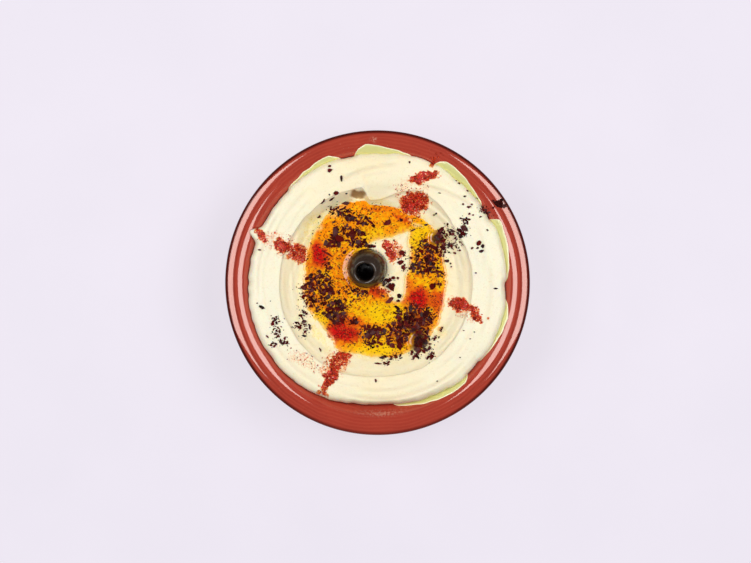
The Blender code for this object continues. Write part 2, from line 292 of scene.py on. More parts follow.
def spoon_lines(angle, radius):
    height = 0 * angle
    for start, r0, end, r1, depth, width in SPOON_LINES:
        middle = (start + end) / 2
        along = turn(angle, middle) / (end - start) + 0.5
        line = r0 + (r1 - r0) * along
        ends = 1 - smooth(0.3, 0.5, abs(along - 0.5))
        across = (radius - line) / width
        groove = np.exp(-(across**2)) - 0.6 * np.exp(-((across - 1.6) ** 2))
        height = height - 0.65 * depth * ends * groove
    return height


def ring_height(angle, radius):
    """Top of the swirled ring, before its sides fall away."""
    edge, crest = edge_radius(angle), crest_radius(angle)
    share = np.clip((radius - crest) / (edge - crest), 0, 1)
    low = CREST_TOP - TONGUE_DROP * tongue(angle)
    height = low + (RING_TOP - 0.25 - low) * smooth(-0.15, 0.5, share)
    height = height + spoon_lines(angle, radius)
    height = height + 0.16 * round_noise(angle, radius, 1.5, 9, 31)
    return height + 0.25 * round_noise(angle, radius, 6, 3, 33)


def pocket(x, y):
    """1 in the middle of the small hollow beside the tongue."""
    moved_x, moved_y = wander(x, y)
    x, y = (x + moved_x) / 2, (y + moved_y) / 2
    along, across = abs(x + 10.3) / 4.4, abs(y - 46.3 + 0.2 * (x + 10)) / 1.9
    return 1 - smooth(0.7, 1.05, (along**4 + across**4) ** 0.25)


def ground(x, y):
    """Height of the hummus's surface."""
    angle, radius = to_polar(x, y)
    edge, crest = edge_radius(angle), crest_radius(angle)
    top = ring_height(angle, radius)

    # outer side: rounds off onto the dish
    share = np.clip((radius - crest) / (edge - crest), 0, 1)
    fall = np.clip((share - SHOULDER) / (1 - SHOULDER), 0, 1)
    seat = lip_height(edge)
    top = seat + (top - seat) * (1 - fall**SHOULDER_POWER) ** (1 / SHOULDER_POWER)

    # inner side: a sharp edge, then a hollow slope down to the shelf and the trough
    depth = np.clip(crest - radius, 0, None)
    slope = top - 0.8 * (1 - np.exp(-depth / 0.6)) - 0.6 * depth
    slope = slope + 0.2 * round_noise(angle, radius, 1.5, 9, 35) * smooth(0, 2, depth)
    slope = slope - UPPER_LEFT_DIP * bump(angle, 116, 40) * smooth(0.5, 5.5, depth)
    pool, island = shore(x, y)
    shelf = SHELF_TOP + 0.16 * np.clip(-pool, 0, None)
    trough = OIL_LEVEL - MOAT_DEPTH * (1 - np.exp(-np.clip(pool, 0, None) / 3.0))
    basin = np.where(pool > 0, trough, OIL_LEVEL + (shelf - OIL_LEVEL) * (1 - np.exp(pool / 0.8)))
    raised = OIL_LEVEL + ISLAND_RISE * (1 - np.exp(np.clip(island, None, 0) / 2.2))
    sunk = OIL_LEVEL - MOAT_DEPTH * (1 - np.exp(-np.clip(island, 0, None) / 2.0))
    basin = np.maximum(basin, np.where(island > 0, sunk, raised))
    basin = basin + 0.1 * noise(x, y, 3, 41) + 0.05 * noise(x, y, 1.1, 42)
    inner = smooth_max(slope, basin, 0.7)
    height = np.where(radius < crest, inner, top)

    heap = 0.5 * soak_marks(x, y) * (0.7 + 0.5 * noise(x, y, 0.9, 43))
    height = height + heap * (np.minimum(pool, island) < 0) - POCKET_DEPTH * pocket(x, y)
    away = np.hypot(x - OLIVE_CENTRE.x, y - OLIVE_CENTRE.y) / (OLIVE_RADIUS - 0.1)
    socket = OLIVE_CENTRE.z - OLIVE_HALF_LENGTH * np.sqrt(1 - np.clip(away, 0, 1) ** 2) - 0.3
    return np.where(away < 1, np.minimum(height, socket), height)


def oil_height(x, y):
    """Height of the oil's surface. Past its shore it dives under the hummus."""
    pool, island = shore(x, y)
    inside = np.minimum(pool, island)
    height = OIL_LEVEL + 0.3 * (1 - np.exp(-np.clip(inside, 0, None) / 0.7))
    height = height + 0.9 * np.clip(inside, None, 0)
    olive = np.hypot(x - OLIVE_CENTRE.x, y - OLIVE_CENTRE.y) - OLIVE_RADIUS
    height = height + 0.9 * np.exp(-np.clip(olive, 0, None) / 1.4) * smooth(0, 3, inside)
    for cx, cy, size, rise in DROPS:
        away = np.clip(np.hypot(x - cx, y - cy) / size, 0, 1)
        height = height + rise * (1 - away**6) * smooth(-0.5, 1, inside)
    return height + 0.02 * noise(x, y, 4, 51)


def rest_height(x, y):
    """Height that a flake comes to rest at."""
    angle, radius = to_polar(x, y)
    food = np.maximum(ground(x, y), oil_height(x, y))
    return np.where(radius < edge_radius(angle), food, lip_height(radius) + 0.1)


# ---- pieces


def add_object(name, data):
    obj = bpy.data.objects.new(name, data)
    bpy.context.scene.collection.objects.link(obj)
    return obj


def mesh_piece(name, points, faces, look, marks, replaces=None, sharp=None):
    """A piece from points in millimetres, riding on the one body. marks are its point attributes."""
    mesh = bpy.data.meshes.new(name)
    mesh.from_pydata((np.asarray(points) * MM).tolist(), [], faces)
    for mark, values in marks.items():
        values = np.asarray(values, np.float32)
        if values.ndim == 2:
            colour = np.concatenate([values, np.ones((len(values), 1), np.float32)], 1)
            mesh.attributes.new(mark, "FLOAT_COLOR", "POINT").data.foreach_set("color", colour.ravel())
        else:
            mesh.attributes.new(mark, "FLOAT", "POINT").data.foreach_set("value", values.ravel())
    mesh.materials.append(look)
    mesh.shade_smooth()
    if sharp:
        mesh.set_sharp_from_angle(angle=math.radians(sharp))
    obj = add_object(name, mesh)
    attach(obj, "root")
    if replaces:
        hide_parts(replaces)


def skin(rings):
    """Points and faces of a closed skin over rings. The first ring is at the top and the last underneath,
    each running counter-clockwise from above, and a point closes it at either end."""
    rings = np.asarray(rings)
    rows, count = rings.shape[:2]
    points = np.concatenate([rings[0].mean(0)[None], rings.reshape(-1, 3), rings[-1].mean(0)[None]])
    i = np.arange(count)
    j = (i + 1) % count
    faces = [(0, 1 + a, 1 + b) for a, b in zip(i.tolist(), j.tolist())]
    for k in range(rows - 1):
        upper, lower = 1 + k * count, 1 + (k + 1) * count
        faces += np.stack([upper + i, lower + i, lower + j, upper + j], 1).tolist()
    lower = 1 + (rows - 1) * count
    faces += [(lower + a, len(points) - 1, lower + b) for a, b in zip(i.tolist(), j.tolist())]
    return points, faces


def turned(profile, count):
    """Rings turned about Z from (radius, height) pairs."""
    angles = np.arange(count) * 2 * np.pi / count
    profile = np.asarray(profile, float)
    radius, height = profile[:, 0:1], profile[:, 1:2]
    return np.stack([radius * np.cos(angles), radius * np.sin(angles), height + 0 * angles], 2)


def dish_profile():
    """(radius, height) from the middle of the inside, over the lip, to the middle of the underside."""
    inside = [(r, float(lip_height(r))) for r in (0.5, 20, 34, 45, 54, 60, 64)]
    inside += [(r, float(lip_height(r))) for r in np.arange(65, CREST_RADIUS, 0.3)]
    outer = []
    for slope in np.linspace(0, 1, 9) * LIP_EDGE_SLOPE:
        fall = LIP_OUTER_ROLL * (1 - math.cos(slope))
        outer.append((CREST_RADIUS + LIP_OUTER_ROLL * math.sin(slope), RIM_HEIGHT - fall))
    edge_z = outer[-1][1] - EDGE_ROUND * math.cos(LIP_EDGE_SLOPE)
    for slope in np.radians(np.linspace(30, 90, 7)):
        outer.append((RIM_RADIUS - EDGE_ROUND * (1 - math.sin(slope)), edge_z + EDGE_ROUND * math.cos(slope)))
    under = RIM_HEIGHT - LIP_DEPTH
    outer += [(RIM_RADIUS, under + 0.4), (RIM_RADIUS - 0.15, under - 0.2), (RIM_RADIUS - 0.6, under - 0.7)]
    outer += [(RIM_RADIUS - 1.4, under - 1.1), (RIM_RADIUS - 2.4, under - 1.5)]
    top = (RIM_RADIUS - LIP_OVERHANG, under - 2.0)
    foot = (FOOT_RADIUS + 1.0, FOOT_HEIGHT + 0.6)
    for share in np.linspace(0, 1, 21):
        belly = WALL_BELLY * math.sin(math.pi * share) * 0.7
        x, z = (a + (b - a) * share for a, b in zip(top, foot))
        outer.append((x + belly, z - belly))
    outer += [(FOOT_RADIUS + 0.2, FOOT_HEIGHT - 0.2), (FOOT_RADIUS, FOOT_HEIGHT - 0.9)]
    outer += [(FOOT_RADIUS, 0.9), (FOOT_RADIUS - 0.25, 0.3), (FOOT_RADIUS - 0.8, 0)]
    inner_foot = FOOT_RADIUS - FOOT_WIDTH
    outer += [(inner_foot + 0.4, 0), (inner_foot, 0.3), (inner_foot - 0.5, RECESS_HEIGHT - 0.5)]
    outer += [(inner_foot - 1.2, RECESS_HEIGHT), (20, RECESS_HEIGHT), (0.5, RECESS_HEIGHT)]
    return inside + outer


def make_dish():
    """The dish. Its marks: a smear at the top and a painted highlight on the lip at the bottom, painted dark
    shade on the rim's rounding and a painted dark reflection line beside its crest, and a painted contact
    shadow round the hummus."""
    points, faces = skin(turned(dish_profile(), DISH_COUNT))
    x, y, z = points.T
    angle, radius = to_polar(x, y)
    above = z > RIM_HEIGHT / 2
    # a smear on the top of the rim, and a painted highlight on the inner lip at the bottom
    smear_and_painted_highlight = (blot(angle, radius, 91.5, 1.1, 75, 1.3) + 0.5 * blot(angle, radius, 272, 9, 68.7, 1.5)) * above
    # painted dark shade on the rim's outer rounding, weaker at the bottom, and a painted dark reflection line
    # beside the crest, strongest at the left and right
    rim = smooth(RIM_RADIUS - 2.1, RIM_RADIUS - 1.1, radius) * (0.9 - 0.3 * bump(angle, 270, 60))
    rim = rim + 0.3 * np.exp(-(((radius - 75.2) / 0.6) ** 2)) * np.cos(np.radians(angle)) ** 2
    rim = rim * smooth(RIM_HEIGHT - 5.0, RIM_HEIGHT - 3.2, z)
    # painted contact shadow in a thin line where the hummus meets the dish, on the upper side only
    painted_contact_shadow = 0.8 * (1 - smooth(0.2, 0.8, radius - edge_radius(angle))) * above
    painted_contact_shadow = painted_contact_shadow * (0.7 + 0.3 * noise(x, y, 5, 82))
    marks = {"smear_and_painted_highlight": smear_and_painted_highlight, "rim": rim, "painted_contact_shadow": painted_contact_shadow}
    mesh_piece("dish_body", points, faces, glaze_look(), marks, "dish", sharp=50)


def make_hummus():
    angles = np.arange(ROUND_COUNT) * 360.0 / ROUND_COUNT
    edge, crest = edge_radius(angles), crest_radius(angles)
    # closer together towards the crest, as shares of its radius
    inner = [np.linspace(0.01, 0.62, 36), np.linspace(0.62, 0.86, 18)[1:], np.linspace(0.86, 0.975, 12)[1:]]
    inner.append(0.975 + 0.025 * np.linspace(0, 1, 8)[1:])
    radii = [share * crest for share in np.concatenate(inner)]
    width = edge - crest
    radii += [crest + width * share for share in np.linspace(0.008, SHOULDER, 24)]
    for bend in np.linspace(0, 90, 15)[1:-1]:
        across = math.sin(math.radians(bend)) ** (2 / SHOULDER_POWER)
        radii.append(crest + width * (SHOULDER + (1 - SHOULDER) * across))
    rings = []
    for radius in radii:
        x, y = to_flat(angles, radius)
        rings.append(np.stack([x, y, ground(x, y)], 1))
    for share in (1, 0.98, 0.94, 0.88, 0.8, 0.65, 0.45, 0.2):
        radius = edge * share
        rings.append(np.stack([*to_flat(angles, radius), lip_height(radius) + 0.12], 1))
    points, faces = skin(rings)
    x, y = points[:, 0], points[:, 1]
    pool, island = shore(x, y)
    outside = -np.minimum(pool, island)
    angle, radius = to_polar(x, y)
    inwards = crest_radius(angle) - radius
    # painted warm shade on the ring's inner slope and, stronger, on its sides towards +Y and -Y, which the
    # side lights reach less
    painted_warm_shade = smooth(-0.5, 1.5, inwards) * (0.75 + 0.25 * round_noise(angle, radius, 1.4, 8, 36))
    painted_warm_shade = np.maximum(painted_warm_shade, 0.8 * abs(np.sin(np.radians(angle))) ** 3 * (0.8 + 0.3 * noise(x, y, 7, 38)))
    # painted shade: a thin line at the crest, the spoon's grooves and the hollow beside the tongue
    crease = 0.2 * np.exp(-((inwards / 0.4) ** 2)) * (0.6 + 0.4 * noise(x, y, 4, 37))
    strokes = 0.4 * np.clip(-spoon_lines(angle, radius), 0, 1) * (inwards < 0)
    shade = np.maximum(np.maximum(crease, strokes), pocket(x, y))
    film = np.maximum(0.7 * np.exp(-np.clip(outside, 0, None) / 1.1), strongest(x, y, FILMS, 0.45))
    marks = {"film": film, "soak": soak_marks(x, y), "painted_warm_shade": painted_warm_shade, "shade": shade}
    mesh_piece("hummus_swirl", points, faces, hummus_look(), marks, "hummus")


def wander(x, y):
    """Places moved about a little, which makes the outlines of patches irregular."""
    along = noise(x, y, 3.2, 61) * 1.3 + noise(x, y, 1.1, 62) * 0.8
    across = noise(x, y, 3.2, 63) * 1.3 + noise(x, y, 1.1, 64) * 0.8
    return x + along, y + across


def patch(place, cx, cy, a, b, lean, edge):
    """1 inside an ellipse, falling off over edge of its size."""
    c, s = math.cos(math.radians(lean)), math.sin(math.radians(lean))
    dx, dy = place[0] - cx, place[1] - cy
    reach = np.hypot((dx * c + dy * s) / a, (dy * c - dx * s) / b)
    return 1 - smooth(1 - edge, 1 + edge, reach)


def strongest(x, y, patches, edge):
    """The strength, at each place, of the strongest of a table of patches."""
    place = wander(x, y)
    return np.max([strength * patch(place, *where, edge) for *where, strength in patches], 0)


# Thin oil that has crept over the hummus beyond the pool: x, y, half lengths, lean, strength
FILMS = (
    (-33, 29, 10.5, 5.5, 50, 0.85), (-23, 39, 7, 2.2, 28, 0.7), (-5, 43.2, 9, 1.2, 0, 0.8),
    (9, -6, 4.5, 4.5, 0, 0.5), (-41.2, -3, 1.4, 13, 0, 0.55), (-31, -28, 10, 1.8, -52, 0.8),
    (-10, -37, 9, 2.4, -10, 0.6), (33, -26, 4, 3, 0, 0.5), (37, 8, 2.2, 6, 0, 0.35),
    (16, 16, 1.5, 10, 0, 0.5), (12, 0, 3, 8, 0, 0.25), (-40, 19, 5, 3, 40, 0.45),
    (25, 34, 5, 2.5, -40, 0.45),
)  # fmt: skip


# Ground paprika heaped on the hummus: x, y, half lengths, lean, how thickly it covers
PAPRIKA = (
    (24, 55, 8, 2.3, 14, 1), (19.5, 42.2, 7.2, 5.6, 20, 0.8), (17, 40.5, 4.2, 3.6, 15, 1),
    (28.4, 63.6, 1.5, 3.4, -20, 0.55), (31.5, 67.5, 2.6, 1.6, 10, 0.3), (20.5, 35.8, 3, 1.6, -20, 0.3),
    (-60.6, 25.2, 4.8, 2, -42, 0.75), (-50.2, 19, 5, 3.6, -15, 1), (-42, 15.8, 5.6, 4.6, -65, 0.66),
    (-20, -40.6, 6, 4, 30, 0.62), (-25.2, -50.2, 7, 2.8, 62, 0.95), (-28.6, -58.2, 3.2, 1.4, -15, 0.35),
    (42.6, -11.4, 5.6, 3.4, -17, 1), (50.6, -16.8, 5.2, 1.8, -50, 0.8), (57.6, -19.6, 1, 1, 0, 0.5),
    (6.6, 16.2, 2.5, 5.8, 8, 0.95), (9.6, 17.5, 3.2, 5.6, 8, 0.3), (2, -5, 4.6, 1.6, -12, 0.7),
    (-31.2, 14.5, 3.6, 5.6, 15, 0.5), (-18.5, -26.5, 7.6, 4.2, -12, 0.55), (22, -9, 4.2, 4.4, 0, 0.5),
    (30, -9, 4, 3, 0, 0.25), (-38, -41, 9, 4, -25, 0.13), (-22, -43, 9, 7, 40, 0.2),
    (18.5, 47, 10, 9, 40, 0.1), (46, -14, 9, 5, -35, 0.14), (-50, 19.5, 12, 6, -25, 0.14),
)  # fmt: skip


def soak_marks(x, y):
    """How thickly paprika covers the hummus."""
    return strongest(x, y, PAPRIKA, 0.3)


def linear(*levels):
    """A colour as shaders count it, from levels of 0 to 255 as screens show it."""
    levels = np.array(levels) / 255
    return np.where(levels <= 0.04045, levels / 12.92, ((levels + 0.055) / 1.055) ** 2.4)


YELLOW, LEMON = linear(255, 188, 2), linear(255, 206, 6)
ORANGE, RUST = linear(252, 140, 2), linear(226, 80, 10)
CRIMSON, PALE = linear(212, 8, 14), linear(250, 226, 150)
MAROON, DARK = linear(84, 10, 10), linear(34, 5, 9)
# Where the pool's colour changes: x, y, half lengths, lean, colour, strength
OIL_TINTS = (
    (-8, 39, 18, 4.5, 5, ORANGE, 0.85), (12, 36, 11, 4.5, -27, ORANGE, 0.95),
    (-2, 32, 16, 4, 0, ORANGE, 0.45), (13, 33.5, 5.5, 1.6, -35, RUST, 0.8),
    (2, 38.5, 9, 1.4, 0, RUST, 0.45), (30, 30, 2, 3.5, 20, ORANGE, 0.6), (-28, 27, 5, 8, -45, ORANGE, 0.8),
    (-19.5, 8, 3.6, 10, 0, RUST, 0.55), (-20, 6, 6, 14, 0, ORANGE, 0.8), (-35, 8, 3.5, 8, 10, RUST, 0.6),
    (-31, 14, 5.5, 7, 15, RUST, 0.7), (-31.2, 14.5, 4, 6.2, 15, CRIMSON, 1),
    (-37, -2, 2.5, 8, 0, ORANGE, 0.6), (-18, -25, 10, 6.5, -8, RUST, 0.8),
    (-18.5, -26, 8.8, 5, -12, CRIMSON, 1), (-12, -20.5, 6, 2.5, -10, RUST, 0.7),
    (-23, -38, 6, 5, 30, ORANGE, 0.9), (0, -5.5, 6, 2.6, -10, RUST, 0.8),
    (-2, -5.5, 2.6, 1.6, 20, CRIMSON, 0.6), (4, -4.5, 2, 1.8, 0, CRIMSON, 0.5),
    (16, 0, 2.6, 6, 0, ORANGE, 0.85), (16, -2, 2, 4, 0, RUST, 0.6), (23, -8, 9, 5, 0, RUST, 0.75),
    (22, -9, 5, 5, 0, CRIMSON, 1), (32.5, -11, 4, 6, 0, RUST, 0.9), (34, -9, 2, 3, 0, CRIMSON, 0.35),
    (31, -20, 4, 5, 20, ORANGE, 0.7), (22, -20, 7, 6, 0, RUST, 0.5), (21, 22, 4, 6, 0, LEMON, 0.9),
    (24, 28, 6, 3, 0, LEMON, 0.7), (3, -16, 11, 5, 0, LEMON, 0.9), (0, -35.5, 13, 3, 4, LEMON, 0.9),
    (-30, -20, 5, 5, 0, LEMON, 0.7), (-6, 26, 9, 4, 10, LEMON, 0.6), (-36, 28, 9, 4, 48, PALE, 0.9),
    (-22, 37.5, 6, 2, 25, PALE, 0.35), (20, 31, 4, 1.3, -25, PALE, 0.6), (19.5, -22, 6, 6, 0, MAROON, 0.7),
    (21.8, -31, 5.2, 5, 0, DARK, 0.97), (32.2, 23.6, 4.6, 4.4, 0, DARK, 0.95), (25, 13, 5, 8, 0, RUST, 0.5),
    (9, -28, 5, 4.5, 0, RUST, 0.5), (-32, -6, 6, 7.5, 0, RUST, 0.45), (-21.5, -16, 4, 6, 8, MAROON, 0.35),
    (-13, 24, 5.5, 4, -10, RUST, 0.45), (-21.5, 23.7, 2.2, 3.2, 0, MAROON, 0.5),
)  # fmt: skip


def blend(colour, other, share):
    return colour * (1 - share[:, None]) + other * share[:, None]


def oil_colours(x, y, inside):
    colour = np.ones((len(x), 3)) * YELLOW
    for cell, tint, most, seed in ((4.5, ORANGE, 0.7, 54), (2.0, ORANGE, 0.6, 55), (1.2, RUST, 0.5, 56)):
        colour = blend(colour, tint, most * smooth(-0.1, 0.7, noise(x, y, cell, seed)))
    place = wander(x, y)
    for *where, tint, strength in OIL_TINTS:
        colour = blend(colour, tint, strength * patch(place, *where, 0.5))
    colour = blend(colour, PALE, 0.7 * np.exp(-np.clip(inside, 0, None) / 0.7) * (y < 30))
    bright = 0.6 * smooth(0.2, 0.7, noise(x, y, 0.9, 57)) * smooth(0.1, 0.3, colour[:, 1])
    colour = blend(colour, linear(255, 206, 22), bright)
    dust = smooth(0.1, 0.7, noise(x, y, 0.8, 52)) * smooth(-0.6, 0.5, noise(x, y, 5, 53))
    return blend(colour, colour * (0.55, 0.22, 0.3), 0.75 * dust * smooth(0.5, 2.5, inside))


def square_corners(grid):
    """The four corners of every square of a grid, counter-clockwise."""
    return grid[:-1, :-1], grid[1:, :-1], grid[1:, 1:], grid[:-1, 1:]


def part_corners(full):
    """Clear squares of a grid that touch another one only at a corner."""
    here, right, across, up = square_corners(full)
    across &= ~(here & across & ~right & ~up)
    up &= ~(right & up & ~here & ~across)


def make_oil():
    """The pool's skin on a square grid, kept a little past its shore, and a second skin under it."""
    cell = 0.4
    xs, ys = np.arange(-49, 44, cell), np.arange(-47, 50, cell)
    x, y = (grid.ravel() for grid in np.meshgrid(xs, ys, indexing="ij"))
    pool, island = shore(x, y)
    inside = np.minimum(pool, island)
    clear = np.hypot(x - OLIVE_CENTRE.x, y - OLIVE_CENTRE.y) > OLIVE_RADIUS - 1.5
    kept = ((inside > -1.2) & clear).reshape(len(xs), len(ys))
    index = np.arange(len(x)).reshape(len(xs), len(ys))
    full = np.all(square_corners(kept), 0)
    part_corners(full)
    quads = np.stack([corner[full] for corner in square_corners(index)], 1)
    used, renumbered = np.unique(quads, return_inverse=True)
    quads = renumbered.reshape(quads.shape)
    x, y, inside = x[used], y[used], inside[used]
    top = np.stack([x, y, oil_height(x, y)], 1)
    bottom = top - (0, 0, 0.8)
    count = len(used)
    edges = np.concatenate([quads[:, [k, (k + 1) % 4]] for k in range(4)])
    keys = {tuple(edge) for edge in edges.tolist()}
    walls = [(b, a, a + count, b + count) for a, b in keys if (b, a) not in keys]
    faces = quads.tolist() + (quads[:, ::-1] + count).tolist() + walls
    points = np.concatenate([top, bottom])
    colours = np.tile(oil_colours(x, y, inside), (2, 1))
    mesh_piece("oil_surface", points, faces, oil_look(), {"tint": colours}, "oil_pool")


def make_edge_oil(name, start, end, peak, reach):
    """A thin sheet of oil that clings to the lip beside the hummus."""
    angles = np.linspace(start, end, int((end - start) * 2.5))
    far = np.where(angles < peak, start, end)
    ramp = 1 - 0.75 * np.abs((angles - peak) / (far - peak)) ** 1.2
    to_end = np.clip(np.minimum(angles - start, end - angles) / 2.5, 0, 1)
    swell = ramp * np.sqrt(1 - (1 - to_end) ** 2)
    edge = edge_radius(angles % 360)
    inner = edge - 1.6
    outer = edge - 1.2 + (reach - edge + 1.2) * swell + 0.3 * round_noise(angles, 0 * angles, 3, 1, 71)
    across = np.sin(np.linspace(0, 90, 12) * math.pi / 180)
    thickness = 0.15 + 0.6 * swell
    rows = []
    for share in across:
        radius = inner + (outer - inner) * share
        rows.append((radius, lip_height(radius) + thickness * (1 - share**6) ** 0.5 + 0.02))
    for share in across[::-1][1:]:
        radius = inner + (outer - inner) * share
        rows.append((radius, lip_height(radius) - 0.1))
    points = np.concatenate([np.stack([*to_flat(angles, radius), height], 1) for radius, height in rows])
    # paler towards the sheet's outer edge, where the oil thins, and partly a painted highlight of its
    # meniscus
    rim = np.concatenate([1 - smooth(0.3, 0.75, outer - radius) for radius, _ in rows])
    count, rounds = len(angles), len(rows)
    faces = [tuple(k * count for k in reversed(range(rounds)))]
    faces.append(tuple(k * count + count - 1 for k in range(rounds)))
    for k in range(rounds):
        low, high = k * count, (k + 1) % rounds * count
        faces += [(low + i, high + i, high + i + 1, low + i + 1) for i in range(count - 1)]
    mesh_piece(name + "_sheet", points, faces, EDGE_OIL_LOOK, {"rim": rim}, name)


def make_olive():
    steps = np.radians(np.linspace(34, 180, 44))
    outside = [(OLIVE_RADIUS * math.sin(a), OLIVE_HALF_LENGTH * math.cos(a)) for a in steps]
    mouth_r, mouth_z = outside[0]
    bevel = []
    for share in np.linspace(0, 1, 8):
        turned_by = share * math.pi / 2
        radius = PIT_RADIUS + (mouth_r - PIT_RADIUS) * (1 - math.cos(turned_by))
        bevel.append((radius, mouth_z - 0.9 + 1.1 * math.sin(turned_by)))
    bottom = mouth_z - PIT_DEPTH
    hole = [(0.2, bottom), (PIT_RADIUS * 0.6, bottom + 0.8), (PIT_RADIUS * 0.92, bottom + 3)]
    hole += [(PIT_RADIUS, mouth_z - 8), (PIT_RADIUS - 0.1, mouth_z - 3)]
    profile = hole + bevel + outside[1:-1] + [(0.2, -OLIVE_HALF_LENGTH)]
    rings = turned(profile, 96)
    wobble = 1 + 0.012 * noise(rings[..., 0] + 50, rings[..., 1] + rings[..., 2], 5, 81)
    rings[..., :2] *= wobble[..., None]
    points, faces = skin(rings)
    axis = (-math.sin(OLIVE_LEAN_TOWARDS), math.cos(OLIVE_LEAN_TOWARDS), 0)
    inside = np.hypot(points[:, 0], points[:, 1]) < PIT_RADIUS + 0.15
    # painted shade inside the pit's hole
    painted_pit_shade = inside * smooth(mouth_z - 0.6, mouth_z - 2.5, points[:, 2])
    place = Matrix.Translation(OLIVE_CENTRE) @ Matrix.Rotation(OLIVE_LEAN, 4, axis)
    points = np.array([place @ Vector(p) for p in points])
    mesh_piece("olive_body", points, faces, olive_look(), {"painted_pit_shade": painted_pit_shade}, "olive", sharp=60)


# ---- spices

# Drifts of dark flakes: x, y, half lengths, lean, flakes, their length
DRIFTS = (
    (-13, 35, 12, 2.4, -20, 56, 1.5), (-20, 37.6, 5, 1.8, 0, 16, 1.3), (-21.5, 23.8, 2.4, 3.3, 0, 18, 2),
    (-24, 20.6, 3.2, 1.6, 0, 9, 1.8), (-12, 24.5, 5.6, 3.6, -15, 32, 1.7),
    (-17, 28.5, 3.4, 1.4, 10, 9, 1.2), (-8, 19.6, 6.4, 1.2, -5, 20, 1.7), (-27, 11, 1.8, 5.5, 12, 13, 1.2),
    (-31.5, -5, 7.5, 8.5, 0, 130, 1.4), (-28.5, 2, 5, 3, -30, 24, 1.4),
    (-21.5, -15.5, 4.2, 6.2, 8, 80, 1.7), (-15, -6, 5, 6, 0, 26, 0.9), (-9.5, -5.2, 4, 1.6, -12, 16, 1.7),
    (-12.5, -20, 2, 1.3, 0, 7, 1.6), (-1, -25.5, 4.2, 3.4, 0, 36, 1.8), (-2, -31, 4.4, 2.8, 0, 16, 1.5),
    (-7.5, -25.5, 2.2, 3, 0, 9, 1.3), (10, -27, 6, 6.2, 0, 76, 1.6), (19.5, -16, 5.4, 4.2, 0, 58, 1.6),
    (20, -23, 6.5, 4.5, 0, 66, 1.6), (24, -31, 3.6, 5.6, 0, 30, 1.7), (11, -17, 1.8, 3.6, 10, 14, 1.5),
    (26.5, -17, 4, 4, 0, 26, 1.3), (25.5, 13.5, 5.2, 8.6, 0, 84, 1.4), (23, 7.6, 5.5, 2.4, -8, 44, 1.8),
    (31.5, 5.8, 4.2, 1.8, -38, 20, 1.6), (31, -1.5, 2.6, 0.9, 10, 7, 1.4), (34.2, 24, 2.6, 3.5, 0, 18, 1.9),
    (33, 18, 3.2, 4, 0, 26, 1.4), (38, 27, 1, 2.6, 38, 8, 1.7), (40.3, 25, 1, 2.8, 35, 8, 1.7),
    (44.3, 26.8, 2.8, 2, 30, 15, 1.8), (38.2, 19.6, 1.6, 1.5, 0, 8, 1.5), (42, 20, 2.4, 2.4, 0, 8, 1),
    (45.8, 32.2, 1.8, 1.8, 0, 8, 1.1), (56, 37.5, 3.4, 1.4, -42, 14, 1.2),
    (13.4, 11.5, 2.4, 4.6, 0, 7, 0.8), (4, 1.8, 3, 2, -30, 12, 1.4), (7, -1.6, 1.4, 1.1, 0, 5, 1.7),
    (28, -38.8, 1.9, 1.2, 55, 8, 1.9), (20, -37, 2.4, 2.4, 0, 14, 1.6), (3, -39.2, 2, 0.9, 0, 6, 1.4),
    (9.5, -39.3, 3.2, 1, 5, 10, 1.3), (5, -42.3, 2.2, 0.9, 22, 7, 1), (33, -24.6, 1.2, 0.9, 0, 4, 1.4),
    (30.5, -29, 2.2, 0.6, 20, 5, 1.2), (-39, -17, 2.4, 1.7, 20, 10, 1.5), (-42, -22, 2, 2, 30, 8, 1.2),
    (-37.6, -22.5, 2.4, 1.4, -40, 7, 1.3), (-38.5, -27, 1, 1.7, -20, 6, 1.5),
    (-53.5, -20, 1.9, 2, 0, 8, 1.3), (-53, -25.5, 1.9, 3, 0, 11, 1.3), (-48.6, -30.5, 2, 1.5, 20, 8, 1.7),
    (-54.5, -32.5, 1.7, 1, 0, 5, 1.5),
)  # fmt: skip
